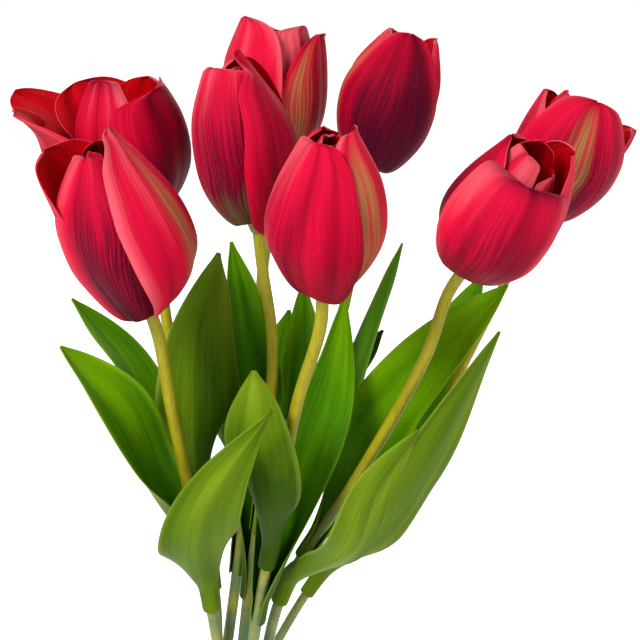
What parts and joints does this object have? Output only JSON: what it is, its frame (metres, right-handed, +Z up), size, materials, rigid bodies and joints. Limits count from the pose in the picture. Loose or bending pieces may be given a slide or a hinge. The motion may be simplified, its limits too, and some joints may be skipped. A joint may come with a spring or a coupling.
{
  "type": "artificial flower bunch",
  "caption": "Bunch of artificial tulips: fabric heads that turn on bendable leafy stems, gathered in a moulded crown on a straight handle to cut or stand in a vase.",
  "frame": {"origin": "middle of the flat cut end of the handle, the lowest point of the bunch", "axes": "+Z up along the handle, +X to the right and -Y towards the viewer who faces the front of the bunch"},
  "size_m": [0.2485, 0.1547, 0.3716],
  "materials": {
    "handle": "satin",
    "crown": "satin",
    "wire": "satin",
    "stem": "satin",
    "leaf": "satin",
    "cup": "matte",
    "outer_petal": "matte",
    "inner_petal": "matte",
    "stamen": "matte"
  },
  "bodies": {
    "holder": {"handle": "handle", "crown": "crown", "core_wire": "wire"},
    "stalk_a": {"stem_a": "stem", "leaf_a_1": "leaf", "leaf_a_2": "leaf"},
    "bloom_a": {"cup_a": "cup", "outer_petals_a": "outer_petal", "inner_petals_a": "inner_petal", "stamens_a": "stamen"},
    "stalk_b": {"stem_b": "stem", "leaf_b_1": "leaf", "leaf_b_2": "leaf"},
    "bloom_b": {"cup_b": "cup", "outer_petals_b": "outer_petal", "inner_petals_b": "inner_petal", "stamens_b": "stamen"},
    "stalk_c": {"stem_c": "stem", "leaf_c_1": "leaf", "leaf_c_2": "leaf"},
    "bloom_c": {"cup_c": "cup", "outer_petals_c": "outer_petal", "inner_petals_c": "inner_petal", "stamens_c": "stamen"},
    "stalk_d": {"stem_d": "stem", "leaf_d_1": "leaf", "leaf_d_2": "leaf"},
    "bloom_d": {"cup_d": "cup", "outer_petals_d": "outer_petal", "inner_petals_d": "inner_petal", "stamens_d": "stamen"},
    "stalk_e": {"stem_e": "stem", "leaf_e_1": "leaf", "leaf_e_2": "leaf"},
    "bloom_e": {"cup_e": "cup", "outer_petals_e": "outer_petal", "inner_petals_e": "inner_petal", "stamens_e": "stamen"},
    "stalk_f": {"stem_f": "stem", "leaf_f_1": "leaf", "leaf_f_2": "leaf"},
    "bloom_f": {"cup_f": "cup", "outer_petals_f": "outer_petal", "inner_petals_f": "inner_petal", "stamens_f": "stamen"},
    "stalk_g": {"stem_g": "stem", "leaf_g_1": "leaf", "leaf_g_2": "leaf"},
    "bloom_g": {"cup_g": "cup", "outer_petals_g": "outer_petal", "inner_petals_g": "inner_petal", "stamens_g": "stamen"},
    "stalk_h": {"stem_h": "stem", "leaf_h_1": "leaf", "leaf_h_2": "leaf"},
    "bloom_h": {"cup_h": "cup", "outer_petals_h": "outer_petal", "inner_petals_h": "inner_petal", "stamens_h": "stamen"}
  },
  "joints": [
    {"name": "bend_a", "type": "hinge", "parent": "holder", "child": "stalk_a", "pos_m": [-0.00877, -0.00202, 0.0973], "axis": [-0.342, -0.9397, 0], "range_deg": [0, 10]},
    {"name": "swivel_a", "type": "hinge", "parent": "stalk_a", "child": "bloom_a", "pos_m": [-0.036, 0.032, 0.2986], "axis": [-0.1945, -0.2402, 0.9511], "continuous": true},
    {"name": "bend_b", "type": "hinge", "parent": "holder", "child": "stalk_b", "pos_m": [-0.00394, -0.00809, 0.0973], "axis": [0.766, -0.6428, 0], "range_deg": [-2, 10]},
    {"name": "swivel_b", "type": "hinge", "parent": "stalk_b", "child": "bloom_b", "pos_m": [-0.0266, -0.0515, 0.2793], "axis": [-0.2049, -0.253, 0.9455], "continuous": true},
    {"name": "bend_c", "type": "hinge", "parent": "holder", "child": "stalk_c", "pos_m": [0, 0, 0.0973], "axis": [0.2588, 0.9659, 0], "range_deg": [0, 4]},
    {"name": "swivel_c", "type": "hinge", "parent": "stalk_c", "child": "bloom_c", "pos_m": [0.0108, -0.0119, 0.2986], "axis": [-0.1032, 0.0164, 0.9945], "continuous": true},
    {"name": "bend_d", "type": "hinge", "parent": "holder", "child": "stalk_d", "pos_m": [-0.00699, 0.00566, 0.0973], "axis": [-0.866, 0.5, 0], "range_deg": [-1, 10]},
    {"name": "swivel_d", "type": "hinge", "parent": "stalk_d", "child": "bloom_d", "pos_m": [0.0149, 0.0479, 0.315], "axis": [0.0284, -0.0637, 0.9976], "continuous": true},
    {"name": "bend_e", "type": "hinge", "parent": "holder", "child": "stalk_e", "pos_m": [0, 0.009, 0.0973], "axis": [-0.866, 0.5, 0], "range_deg": [-3, 10]},
    {"name": "swivel_e", "type": "hinge", "parent": "stalk_e", "child": "bloom_e", "pos_m": [0.0547, 0.0377, 0.3143], "axis": [0.2946, -0.068, 0.9532], "continuous": true},
    {"name": "bend_f", "type": "hinge", "parent": "holder", "child": "stalk_f", "pos_m": [0.00394, -0.00809, 0.0973], "axis": [0.9397, -0.342, 0], "range_deg": [-1, 2]},
    {"name": "swivel_f", "type": "hinge", "parent": "stalk_f", "child": "bloom_f", "pos_m": [0.0355, -0.0618, 0.2878], "axis": [0.0494, -0.2541, 0.9659], "continuous": true},
    {"name": "bend_g", "type": "hinge", "parent": "holder", "child": "stalk_g", "pos_m": [0.00877, -0.00202, 0.0973], "axis": [1, 0, 0], "range_deg": [-1, 3]},
    {"name": "swivel_g", "type": "hinge", "parent": "stalk_g", "child": "bloom_g", "pos_m": [0.0874, -0.0471, 0.2918], "axis": [0.3865, -0.4447, 0.808], "continuous": true},
    {"name": "bend_h", "type": "hinge", "parent": "holder", "child": "stalk_h", "pos_m": [0.00709, 0.00554, 0.0973], "axis": [-0.5, 0.866, 0], "range_deg": [-2, 10]},
    {"name": "swivel_h", "type": "hinge", "parent": "stalk_h", "child": "bloom_h", "pos_m": [0.1229, 0.0238, 0.298], "axis": [0.3291, -0.2391, 0.9135], "continuous": true}
  ]
}
